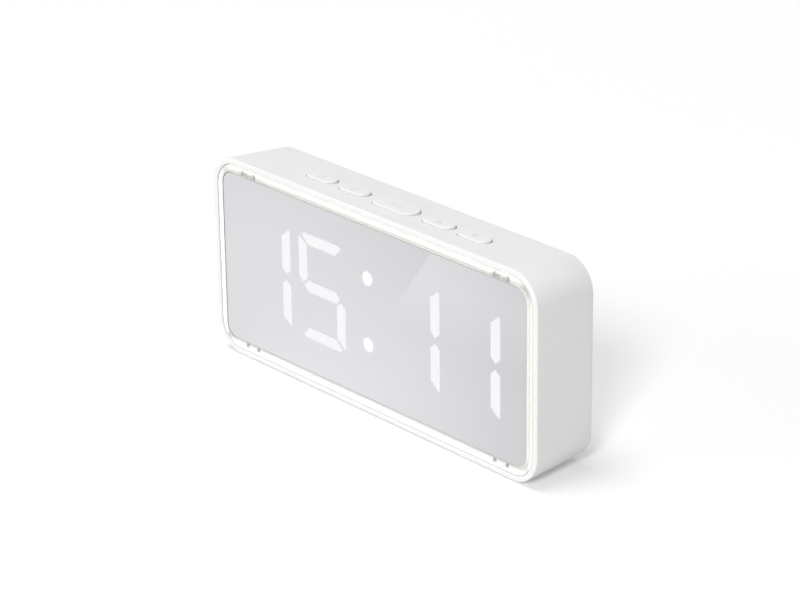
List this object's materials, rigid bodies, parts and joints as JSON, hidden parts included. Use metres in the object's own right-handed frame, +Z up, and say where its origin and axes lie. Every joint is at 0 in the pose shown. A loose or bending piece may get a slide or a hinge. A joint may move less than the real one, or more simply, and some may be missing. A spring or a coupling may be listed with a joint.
{
  "type": "digital led desk clock",
  "caption": "White desk clock with a mirrored front that shows lit digits, a clear frame round the mirror and a row of push buttons on top.",
  "frame": {"origin": "on the surface the clock stands on, under the middle of its box", "axes": "+Z up, the display faces -Y, +X to the viewer's right when facing the display"},
  "size_m": [0.16, 0.0252, 0.071],
  "materials": {
    "case_white": "satin moulded white",
    "clear_acrylic": "clear polished acrylic",
    "mirror_face": "half-silvered acrylic, faintly lilac",
    "black_tape": "black foam tape",
    "frame_white": "glossy moulded white",
    "film_milky": "milky diffusing film",
    "reflector_white": "matt moulded white",
    "lamp_white": "small lamp with a clear lens",
    "board_green": "printed board with solder mask",
    "chip_black": "moulded black epoxy",
    "tinned_metal": "tinned, slightly dull",
    "sleeve_dark": "shrunk sleeve over an aluminium can",
    "black_plastic": "moulded black",
    "switch_stem": "moulded dark grey",
    "ribbon_grey": "flat cable sleeve",
    "header_cream": "moulded cream",
    "socket_steel": "pressed and plated",
    "spring_steel": "nickel-plated strip",
    "cell_foil": "plain foil sleeve with no print",
    "wire_sleeve": "coloured wire sleeve",
    "screw_steel": "plated, cross head",
    "foot_rubber": "pale grey rubber"
  },
  "bodies": {
    "case": {"case_shell": "case_white", "clear_bezel": "clear_acrylic", "mirror_panel": "mirror_face", "mirror_tape": "black_tape", "front_frame": "frame_white", "diffuser_film": "film_milky", "display_reflector": "reflector_white", "display_leds": "lamp_white", "display_board": "board_green", "controller_chip": "chip_black", "crystal": "tinned_metal", "capacitors": "sleeve_dark", "buzzer": "black_plastic", "switch_housings": "black_plastic", "key_board": "board_green", "key_ribbon": "ribbon_grey", "ribbon_headers": "header_cream", "rear_cover": "case_white", "socket_board": "board_green", "power_socket": "socket_steel", "socket_tongue": "black_plastic", "battery_cells": "cell_foil", "battery_contacts": "spring_steel", "battery_wires": "wire_sleeve", "power_wires": "wire_sleeve", "cover_screws": "screw_steel", "board_screws": "screw_steel", "key_board_screws": "screw_steel", "rubber_feet": "foot_rubber"},
    "mode_button": {"mode_button": "case_white", "mode_plunger": "switch_stem"},
    "alarm_button": {"alarm_button": "case_white", "alarm_plunger": "switch_stem"},
    "snooze_button": {"snooze_button": "case_white", "snooze_plunger": "switch_stem"},
    "up_button": {"up_button": "case_white", "up_plunger": "switch_stem"},
    "down_button": {"down_button": "case_white", "down_plunger": "switch_stem"},
    "battery_door": {"battery_door": "case_white"}
  },
  "joints": [
    {"name": "mode_press", "type": "slide", "parent": "case", "child": "mode_button", "axis": [0, 0, -1], "range_m": [0, 0.0005], "stiffness_N_per_m": 1500},
    {"name": "alarm_press", "type": "slide", "parent": "case", "child": "alarm_button", "axis": [0, 0, -1], "range_m": [0, 0.0005], "stiffness_N_per_m": 1500},
    {"name": "snooze_press", "type": "slide", "parent": "case", "child": "snooze_button", "axis": [0, 0, -1], "range_m": [0, 0.0005], "stiffness_N_per_m": 1500},
    {"name": "up_press", "type": "slide", "parent": "case", "child": "up_button", "axis": [0, 0, -1], "range_m": [0, 0.0005], "stiffness_N_per_m": 1500},
    {"name": "down_press", "type": "slide", "parent": "case", "child": "down_button", "axis": [0, 0, -1], "range_m": [0, 0.0005], "stiffness_N_per_m": 1500},
    {"name": "door_lift", "type": "slide", "parent": "case", "child": "battery_door", "axis": [0, 1, 0], "range_m": [0, 0.02]}
  ]
}
